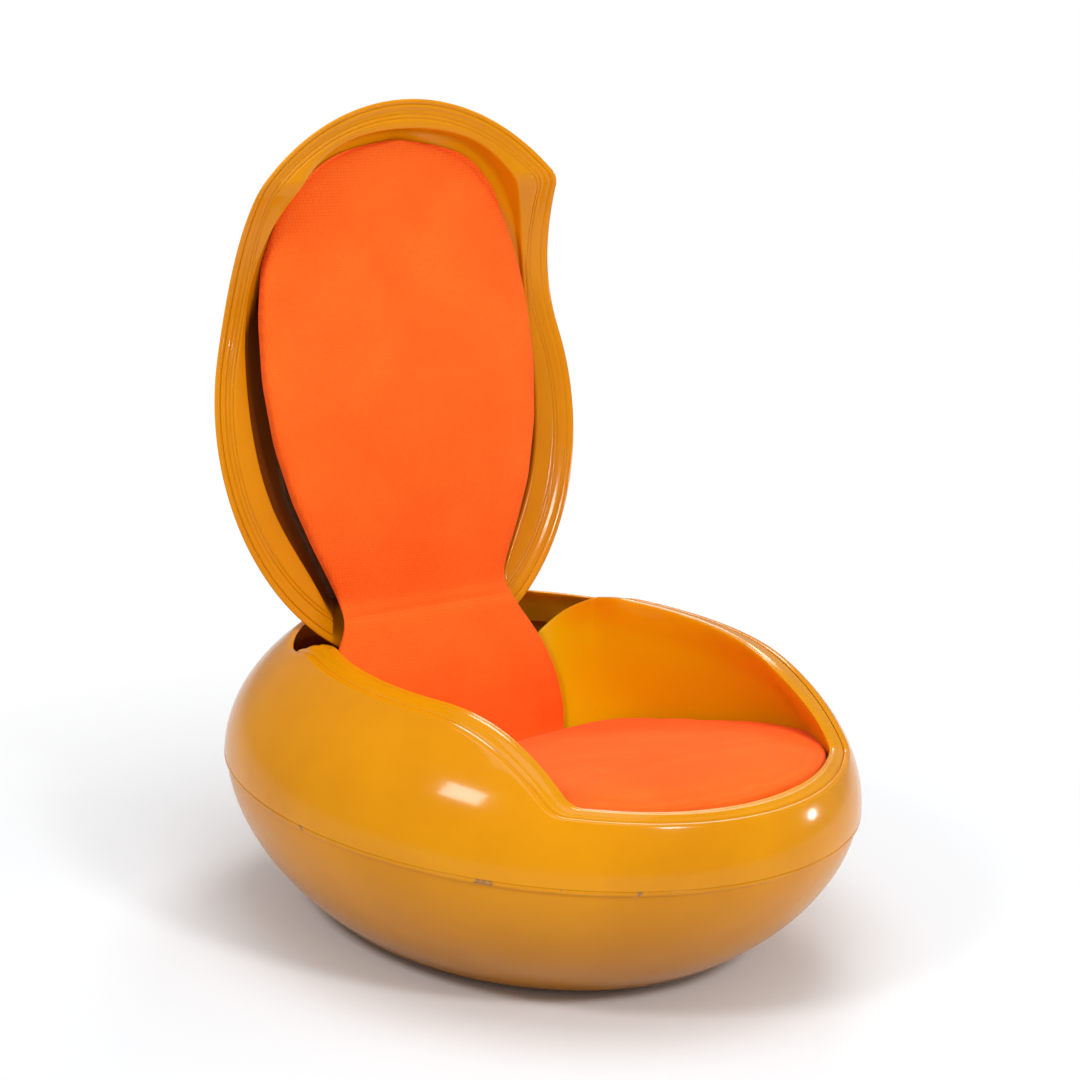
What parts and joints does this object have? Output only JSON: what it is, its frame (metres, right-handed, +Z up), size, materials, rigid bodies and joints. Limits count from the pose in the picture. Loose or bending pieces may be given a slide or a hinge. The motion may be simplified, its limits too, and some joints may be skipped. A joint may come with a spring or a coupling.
{
  "type": "pod chair",
  "caption": "Egg-shaped lacquered pod chair with a sunk cushioned seat; its hooded lid swings up on hidden hinges to become the padded backrest.",
  "frame": {"origin": "centre of the flat foot, on the floor", "axes": "+Z up; -Y to the front of the seat; +X to the sitter's left"},
  "size_m": [0.76, 0.8462, 0.986],
  "materials": {
    "lacquer_upper": "gloss",
    "lacquer_lower": "satin",
    "lacquer_tub": "gloss",
    "lacquer_lid": "gloss",
    "lacquer_liner": "gloss",
    "fabric": "matte",
    "plywood": "matte",
    "steel": "satin",
    "buffer_rubber": "matte"
  },
  "bodies": {
    "base": {"base_bottom_shell": "lacquer_lower", "base_upper_shell": "lacquer_upper", "seat_tub": "lacquer_tub", "seat_board": "plywood", "seat_cushion": "fabric", "lumbar_board": "plywood", "lumbar_pad": "fabric", "hinge_base_leaf_left": "steel", "hinge_base_leaf_right": "steel", "hinge_pin_left": "steel", "hinge_pin_right": "steel", "hinge_base_screws": "steel", "seat_board_screws": "steel", "lumbar_board_screws": "steel", "lid_rest_buffers": "buffer_rubber"},
    "lid": {"lid_shell": "lacquer_lid", "lid_liner": "lacquer_liner", "back_board": "plywood", "back_pad": "fabric", "hinge_lid_leaf_left": "steel", "hinge_lid_leaf_right": "steel", "hinge_lid_screws": "steel", "back_board_screws": "steel"}
  },
  "joints": [
    {"name": "lid_hinge", "type": "hinge", "parent": "base", "child": "lid", "pos_m": [0, 0.2495, 0.3358], "axis": [1, 0, 0], "range_deg": [0, 103.9]}
  ]
}
